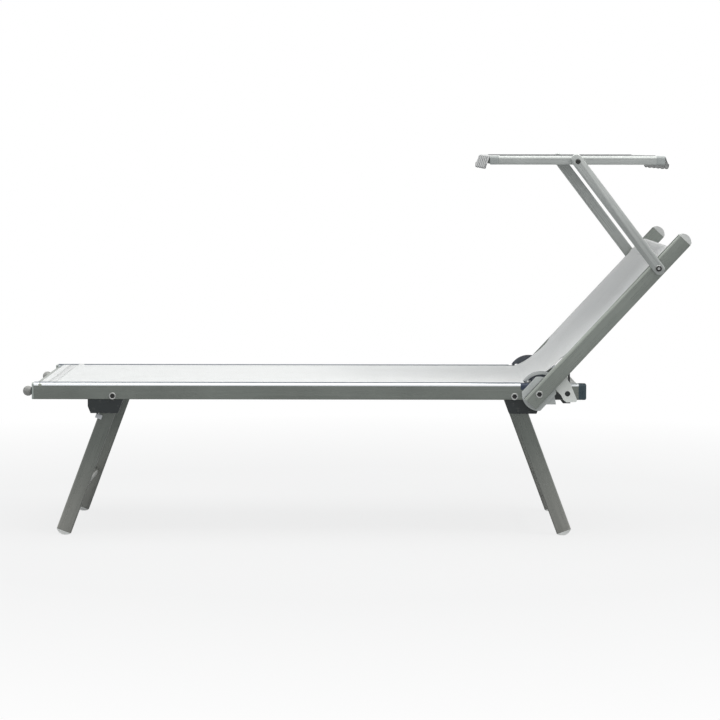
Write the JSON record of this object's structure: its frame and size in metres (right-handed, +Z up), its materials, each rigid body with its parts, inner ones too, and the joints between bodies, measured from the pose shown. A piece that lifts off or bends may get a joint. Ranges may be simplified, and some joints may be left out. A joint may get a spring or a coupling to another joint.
{
  "type": "sun lounger with canopy",
  "caption": "Folding aluminium sun lounger with a white sling, a reclining back on a ratchet and a tilting sunshade on two arms.",
  "frame": {"origin": "on the ground, under the middle of the lounger's whole length and width at rest", "axes": "+X from the foot end to the head end, +Y across to the sitter's left when lying on their back, +Z up"},
  "size_m": [1.7744, 0.6892, 1.0197],
  "materials": {
    "anodised_aluminium": "satin anodised, fine drawing lines along each profile",
    "pale_aluminium": "satin anodised, paler than the frame",
    "light_plastic": "moulded, light satin",
    "dark_plastic": "moulded, dull",
    "blue_grey_plastic": "moulded, satin",
    "rubber": "soft, dull",
    "stainless_steel": "bright",
    "sling_fabric": "fine coated mesh weave, matt",
    "canopy_fabric": "fine coated weave, matt, slightly see-through to light"
  },
  "bodies": {
    "bed_frame": {"side_rail_far": "anodised_aluminium", "side_rail_near": "anodised_aluminium", "corner_cap_far": "light_plastic", "corner_cap_near": "light_plastic", "rail_end_cap_far": "blue_grey_plastic", "rail_end_cap_near": "blue_grey_plastic", "end_bumper_far": "rubber", "end_bumper_near": "rubber", "hinge_bolt_far": "stainless_steel", "hinge_bolt_near": "stainless_steel", "hinge_guard_far": "blue_grey_plastic", "hinge_guard_near": "blue_grey_plastic", "catch_rivet_far": "dark_plastic", "catch_rivet_near": "dark_plastic", "leg_bracket_front_far": "dark_plastic", "leg_bracket_front_near": "dark_plastic", "leg_bolt_front_far": "stainless_steel", "leg_bolt_front_near": "stainless_steel", "leg_bracket_rear_far": "dark_plastic", "leg_bracket_rear_near": "dark_plastic", "leg_bolt_rear_far": "stainless_steel", "leg_bolt_rear_near": "stainless_steel", "foot_crossbar": "anodised_aluminium", "mid_crossbar": "anodised_aluminium", "head_crossbar": "anodised_aluminium", "sling_foot_bar": "anodised_aluminium", "seat_sling": "sling_fabric", "hinge_sling": "sling_fabric"},
    "front_legs": {"front_leg_far": "anodised_aluminium", "front_leg_near": "anodised_aluminium", "front_foot_far": "light_plastic", "front_foot_near": "light_plastic", "front_leg_spreader": "anodised_aluminium"},
    "rear_legs": {"rear_leg_far": "anodised_aluminium", "rear_leg_near": "anodised_aluminium", "rear_foot_far": "light_plastic", "rear_foot_near": "light_plastic", "rear_leg_spreader": "anodised_aluminium"},
    "backrest": {"back_tube_far": "anodised_aluminium", "back_tube_near": "anodised_aluminium", "back_tube_cap_far": "light_plastic", "back_tube_cap_near": "light_plastic", "hinge_moulding_far": "light_plastic", "hinge_moulding_near": "light_plastic", "arm_screw_far": "stainless_steel", "arm_screw_near": "stainless_steel", "top_bar": "anodised_aluminium", "backrest_sling": "sling_fabric"},
    "recline_catch": {"catch_plate_far": "light_plastic", "catch_plate_near": "light_plastic", "release_bar": "dark_plastic"},
    "canopy_arms": {"canopy_arm_far": "pale_aluminium", "canopy_arm_near": "pale_aluminium", "canopy_screw_far": "stainless_steel", "canopy_screw_near": "stainless_steel"},
    "canopy": {"canopy_tube_far": "pale_aluminium", "canopy_tube_near": "pale_aluminium", "canopy_rear_bow": "light_plastic", "canopy_front_bow": "light_plastic", "canopy_fabric": "canopy_fabric"}
  },
  "joints": [
    {"name": "front_legs_fold", "type": "hinge", "parent": "bed_frame", "child": "front_legs", "pos_m": [-0.64123, 0, 0.378], "axis": [0, -1, 0], "range_deg": [0, 110.5]},
    {"name": "rear_legs_fold", "type": "hinge", "parent": "bed_frame", "child": "rear_legs", "pos_m": [0.42477, 0, 0.378], "axis": [0, 1, 0], "range_deg": [0, 110.5]},
    {"name": "back_recline", "type": "hinge", "parent": "bed_frame", "child": "backrest", "pos_m": [0.48877, 0, 0.386], "axis": [0, -1, 0], "range_deg": [-47.1, 11.7], "deforming": ["hinge_sling"]},
    {"name": "catch_release", "type": "hinge", "parent": "bed_frame", "child": "recline_catch", "pos_m": [0.56477, 0, 0.386], "axis": [0, 1, 0], "range_deg": [0, 12]},
    {"name": "canopy_arms_swing", "type": "hinge", "parent": "backrest", "child": "canopy_arms", "pos_m": [0.79918, 0, 0.72004], "axis": [0, -1, 0], "range_deg": [-55, 45]},
    {"name": "canopy_tilt", "type": "hinge", "parent": "canopy_arms", "child": "canopy", "pos_m": [0.58508, 0, 1.00007], "axis": [0, -1, 0], "range_deg": [-50, 50]}
  ]
}
